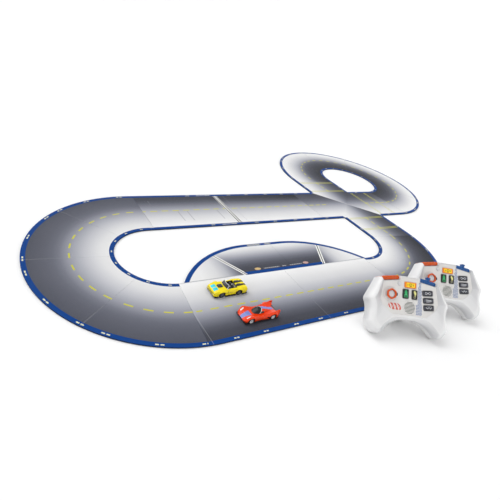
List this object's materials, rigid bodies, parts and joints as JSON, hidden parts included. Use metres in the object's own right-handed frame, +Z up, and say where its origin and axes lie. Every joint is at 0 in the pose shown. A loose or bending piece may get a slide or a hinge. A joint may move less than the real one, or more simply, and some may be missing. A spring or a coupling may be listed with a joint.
{
  "type": "slot car track set",
  "caption": "Flat figure-eight toy racing track of snap-together plates with a pit lane, small motorised cars and hand controllers.",
  "frame": {"origin": "on the floor under the middle of the crossing plate", "axes": "+X right along the back straight, +Y to the back, +Z up; the controllers stand on the -Y side"},
  "size_m": [1.966, 1.422, 0.1416],
  "materials": {
    "track_print": "printed, satin",
    "pad_white": "gloss",
    "pad_panel": "satin",
    "board_green": "satin",
    "cell_wrap": "satin",
    "screw_steel": "plated",
    "stick_orange": "satin",
    "bar_orange": "gloss",
    "bar_blue": "gloss",
    "key_white": "gloss",
    "key_amber": "gloss",
    "key_dark": "satin",
    "yellow_paint": "gloss",
    "red_paint": "gloss",
    "cockpit_dark": "gloss",
    "chassis_black": "matte",
    "motor_steel": "satin",
    "battery_silver": "satin",
    "tyre_black": "rubber"
  },
  "bodies": {
    "root": {"crossing_plate": "track_print", "front_straight_plates": "track_print", "back_straight_plates": "track_print", "left_curve_plates": "track_print", "right_curve_plates": "track_print", "loop_entry_plates": "track_print", "loop_exit_plates": "track_print", "pit_lane_plates": "track_print"},
    "near_pad": {"near_pad_face_shell": "pad_white", "near_pad_rear_shell": "pad_white", "near_pad_battery_door": "pad_white", "near_pad_battery_cells": "cell_wrap", "near_pad_control_board": "board_green", "near_pad_screws": "screw_steel"},
    "near_pad_brake_trigger": {"near_pad_brake_trigger": "bar_orange"},
    "near_pad_throttle_trigger": {"near_pad_throttle_trigger": "bar_blue"},
    "near_pad_stick": {"near_pad_stick": "stick_orange"},
    "near_pad_power_key": {"near_pad_power_key": "key_white"},
    "near_pad_amber_key": {"near_pad_amber_key": "key_amber"},
    "near_pad_green_key": {"near_pad_green_key": "key_dark"},
    "near_pad_black_key": {"near_pad_black_key": "key_dark"},
    "near_pad_side_key_top": {"near_pad_side_key_top": "key_dark"},
    "near_pad_side_key_middle": {"near_pad_side_key_middle": "key_dark"},
    "near_pad_side_key_bottom": {"near_pad_side_key_bottom": "key_dark"},
    "far_pad": {"far_pad_face_shell": "pad_white", "far_pad_rear_shell": "pad_white", "far_pad_battery_door": "pad_white", "far_pad_battery_cells": "cell_wrap", "far_pad_control_board": "board_green", "far_pad_screws": "screw_steel"},
    "far_pad_brake_trigger": {"far_pad_brake_trigger": "bar_orange"},
    "far_pad_throttle_trigger": {"far_pad_throttle_trigger": "bar_blue"},
    "far_pad_stick": {"far_pad_stick": "stick_orange"},
    "far_pad_power_key": {"far_pad_power_key": "key_white"},
    "far_pad_amber_key": {"far_pad_amber_key": "key_amber"},
    "far_pad_green_key": {"far_pad_green_key": "key_dark"},
    "far_pad_black_key": {"far_pad_black_key": "key_dark"},
    "far_pad_side_key_top": {"far_pad_side_key_top": "key_dark"},
    "far_pad_side_key_middle": {"far_pad_side_key_middle": "key_dark"},
    "far_pad_side_key_bottom": {"far_pad_side_key_bottom": "key_dark"},
    "yellow_car": {"yellow_car_body_shell": "yellow_paint", "yellow_car_canopy": "cockpit_dark", "yellow_car_chassis": "chassis_black", "yellow_car_drive_unit": "motor_steel", "yellow_car_battery_and_board": "battery_silver"},
    "yellow_car_rear_axle": {"yellow_car_rear_axle_and_wheels": "tyre_black"},
    "yellow_car_left_knuckle": {"yellow_car_left_knuckle": "chassis_black"},
    "yellow_car_left_front_wheel": {"yellow_car_left_front_wheel": "tyre_black"},
    "yellow_car_right_knuckle": {"yellow_car_right_knuckle": "chassis_black"},
    "yellow_car_right_front_wheel": {"yellow_car_right_front_wheel": "tyre_black"},
    "red_car": {"red_car_body_shell": "red_paint", "red_car_canopy": "cockpit_dark", "red_car_chassis": "chassis_black", "red_car_drive_unit": "motor_steel", "red_car_battery_and_board": "battery_silver"},
    "red_car_rear_axle": {"red_car_rear_axle_and_wheels": "tyre_black"},
    "red_car_left_knuckle": {"red_car_left_knuckle": "chassis_black"},
    "red_car_left_front_wheel": {"red_car_left_front_wheel": "tyre_black"},
    "red_car_right_knuckle": {"red_car_right_knuckle": "chassis_black"},
    "red_car_right_front_wheel": {"red_car_right_front_wheel": "tyre_black"}
  },
  "joints": [
    {"name": "near_pad_lift", "type": "slide", "parent": "root", "child": "near_pad", "axis": [0.2614, 0.5872, 0.766], "range_m": [0, 0.3]},
    {"name": "near_pad_brake_trigger_pull", "type": "hinge", "parent": "near_pad", "child": "near_pad_brake_trigger", "pos_m": [-0.49361, -0.63996, 0.12545], "axis": [-0.9426, 0.3132, -0.1159], "range_deg": [0, 10], "stiffness_Nm_per_rad": 0.06, "springref_deg": -2.86},
    {"name": "near_pad_throttle_trigger_pull", "type": "hinge", "parent": "near_pad", "child": "near_pad_throttle_trigger", "pos_m": [-0.39079, -0.68574, 0.12545], "axis": [-0.8635, 0.4909, 0.1159], "range_deg": [0, 10], "stiffness_Nm_per_rad": 0.06, "springref_deg": -2.86},
    {"name": "near_pad_stick_steer", "type": "hinge", "parent": "near_pad", "child": "near_pad_stick", "pos_m": [-0.50998, -0.66734, 0.09548], "axis": [0.2614, 0.5872, 0.766], "range_deg": [-18, 18], "stiffness_Nm_per_rad": 0.08},
    {"name": "near_pad_power_key_press", "type": "slide", "parent": "near_pad", "child": "near_pad_power_key", "axis": [0.3116, 0.6998, -0.6428], "range_m": [0, 0.0015], "stiffness_N_per_m": 300, "springref_m": -0.001},
    {"name": "near_pad_amber_key_press", "type": "slide", "parent": "near_pad", "child": "near_pad_amber_key", "axis": [0.3116, 0.6998, -0.6428], "range_m": [0, 0.0015], "stiffness_N_per_m": 300, "springref_m": -0.001},
    {"name": "near_pad_green_key_press", "type": "slide", "parent": "near_pad", "child": "near_pad_green_key", "axis": [0.3116, 0.6998, -0.6428], "range_m": [0, 0.0015], "stiffness_N_per_m": 300, "springref_m": -0.001},
    {"name": "near_pad_black_key_press", "type": "slide", "parent": "near_pad", "child": "near_pad_black_key", "axis": [0.3116, 0.6998, -0.6428], "range_m": [0, 0.0015], "stiffness_N_per_m": 300, "springref_m": -0.001},
    {"name": "near_pad_side_key_top_press", "type": "slide", "parent": "near_pad", "child": "near_pad_side_key_top", "axis": [0.3116, 0.6998, -0.6428], "range_m": [0, 0.0015], "stiffness_N_per_m": 300, "springref_m": -0.001},
    {"name": "near_pad_side_key_middle_press", "type": "slide", "parent": "near_pad", "child": "near_pad_side_key_middle", "axis": [0.3116, 0.6998, -0.6428], "range_m": [0, 0.0015], "stiffness_N_per_m": 300, "springref_m": -0.001},
    {"name": "near_pad_side_key_bottom_press", "type": "slide", "parent": "near_pad", "child": "near_pad_side_key_bottom", "axis": [0.3116, 0.6998, -0.6428], "range_m": [0, 0.0015], "stiffness_N_per_m": 300, "springref_m": -0.001},
    {"name": "far_pad_lift", "type": "slide", "parent": "root", "child": "far_pad", "axis": [0.2614, 0.5872, 0.766], "range_m": [0, 0.3]},
    {"name": "far_pad_brake_trigger_pull", "type": "hinge", "parent": "far_pad", "child": "far_pad_brake_trigger", "pos_m": [-0.2826, -0.61296, 0.12545], "axis": [-0.9426, 0.3132, -0.1159], "range_deg": [0, 10], "stiffness_Nm_per_rad": 0.06, "springref_deg": -2.86},
    {"name": "far_pad_throttle_trigger_pull", "type": "hinge", "parent": "far_pad", "child": "far_pad_throttle_trigger", "pos_m": [-0.17979, -0.65874, 0.12545], "axis": [-0.8635, 0.4909, 0.1159], "range_deg": [0, 10], "stiffness_Nm_per_rad": 0.06, "springref_deg": -2.86},
    {"name": "far_pad_stick_steer", "type": "hinge", "parent": "far_pad", "child": "far_pad_stick", "pos_m": [-0.29898, -0.64034, 0.09548], "axis": [0.2614, 0.5872, 0.766], "range_deg": [-18, 18], "stiffness_Nm_per_rad": 0.08},
    {"name": "far_pad_power_key_press", "type": "slide", "parent": "far_pad", "child": "far_pad_power_key", "axis": [0.3116, 0.6998, -0.6428], "range_m": [0, 0.0015], "stiffness_N_per_m": 300, "springref_m": -0.001},
    {"name": "far_pad_amber_key_press", "type": "slide", "parent": "far_pad", "child": "far_pad_amber_key", "axis": [0.3116, 0.6998, -0.6428], "range_m": [0, 0.0015], "stiffness_N_per_m": 300, "springref_m": -0.001},
    {"name": "far_pad_green_key_press", "type": "slide", "parent": "far_pad", "child": "far_pad_green_key", "axis": [0.3116, 0.6998, -0.6428], "range_m": [0, 0.0015], "stiffness_N_per_m": 300, "springref_m": -0.001},
    {"name": "far_pad_black_key_press", "type": "slide", "parent": "far_pad", "child": "far_pad_black_key", "axis": [0.3116, 0.6998, -0.6428], "range_m": [0, 0.0015], "stiffness_N_per_m": 300, "springref_m": -0.001},
    {"name": "far_pad_side_key_top_press", "type": "slide", "parent": "far_pad", "child": "far_pad_side_key_top", "axis": [0.3116, 0.6998, -0.6428], "range_m": [0, 0.0015], "stiffness_N_per_m": 300, "springref_m": -0.001},
    {"name": "far_pad_side_key_middle_press", "type": "slide", "parent": "far_pad", "child": "far_pad_side_key_middle", "axis": [0.3116, 0.6998, -0.6428], "range_m": [0, 0.0015], "stiffness_N_per_m": 300, "springref_m": -0.001},
    {"name": "far_pad_side_key_bottom_press", "type": "slide", "parent": "far_pad", "child": "far_pad_side_key_bottom", "axis": [0.3116, 0.6998, -0.6428], "range_m": [0, 0.0015], "stiffness_N_per_m": 300, "springref_m": -0.001},
    {"name": "yellow_car_drive", "type": "slide", "parent": "root", "child": "yellow_car", "axis": [-1, 0, 0], "range_m": [-0.5, 0.04]},
    {"name": "yellow_car_rear_axle_spin", "type": "hinge", "parent": "yellow_car", "child": "yellow_car_rear_axle", "pos_m": [-0.84875, -0.451, 0.01135], "axis": [0, 1, 0], "continuous": true},
    {"name": "yellow_car_left_steer", "type": "hinge", "parent": "yellow_car", "child": "yellow_car_left_knuckle", "pos_m": [-0.90125, -0.4655, 0.01135], "axis": [0, 0, 1], "range_deg": [-18, 18], "stiffness_Nm_per_rad": 0.002},
    {"name": "yellow_car_left_wheel_spin", "type": "hinge", "parent": "yellow_car_left_knuckle", "child": "yellow_car_left_front_wheel", "pos_m": [-0.90125, -0.4715, 0.01135], "axis": [0, 1, 0], "continuous": true},
    {"name": "yellow_car_right_steer", "type": "hinge", "parent": "yellow_car", "child": "yellow_car_right_knuckle", "pos_m": [-0.90125, -0.4365, 0.01135], "axis": [0, 0, 1], "range_deg": [-18, 18], "stiffness_Nm_per_rad": 0.002},
    {"name": "yellow_car_right_wheel_spin", "type": "hinge", "parent": "yellow_car_right_knuckle", "child": "yellow_car_right_front_wheel", "pos_m": [-0.90125, -0.4305, 0.01135], "axis": [0, 1, 0], "continuous": true},
    {"name": "red_car_drive", "type": "slide", "parent": "root", "child": "red_car", "axis": [-1, 0, 0], "range_m": [-0.5, 0.04]},
    {"name": "red_car_rear_axle_spin", "type": "hinge", "parent": "red_car", "child": "red_car_rear_axle", "pos_m": [-0.811, -0.562, 0.01135], "axis": [0, 1, 0], "continuous": true},
    {"name": "red_car_left_steer", "type": "hinge", "parent": "red_car", "child": "red_car_left_knuckle", "pos_m": [-0.877, -0.5765, 0.01135], "axis": [0, 0, 1], "range_deg": [-18, 18], "stiffness_Nm_per_rad": 0.002},
    {"name": "red_car_left_wheel_spin", "type": "hinge", "parent": "red_car_left_knuckle", "child": "red_car_left_front_wheel", "pos_m": [-0.877, -0.5825, 0.01135], "axis": [0, 1, 0], "continuous": true},
    {"name": "red_car_right_steer", "type": "hinge", "parent": "red_car", "child": "red_car_right_knuckle", "pos_m": [-0.877, -0.5475, 0.01135], "axis": [0, 0, 1], "range_deg": [-18, 18], "stiffness_Nm_per_rad": 0.002},
    {"name": "red_car_right_wheel_spin", "type": "hinge", "parent": "red_car_right_knuckle", "child": "red_car_right_front_wheel", "pos_m": [-0.877, -0.5415, 0.01135], "axis": [0, 1, 0], "continuous": true}
  ],
  "couplings": [
    {"joint": "yellow_car_rear_axle_spin", "follows": "yellow_car_drive", "rad_per_m": -125},
    {"joint": "yellow_car_left_wheel_spin", "follows": "yellow_car_drive", "rad_per_m": -125},
    {"joint": "yellow_car_right_wheel_spin", "follows": "yellow_car_drive", "rad_per_m": -125},
    {"joint": "yellow_car_right_steer", "follows": "yellow_car_left_steer", "ratio": 1},
    {"joint": "red_car_rear_axle_spin", "follows": "red_car_drive", "rad_per_m": -125},
    {"joint": "red_car_left_wheel_spin", "follows": "red_car_drive", "rad_per_m": -125},
    {"joint": "red_car_right_wheel_spin", "follows": "red_car_drive", "rad_per_m": -125},
    {"joint": "red_car_right_steer", "follows": "red_car_left_steer", "ratio": 1}
  ]
}
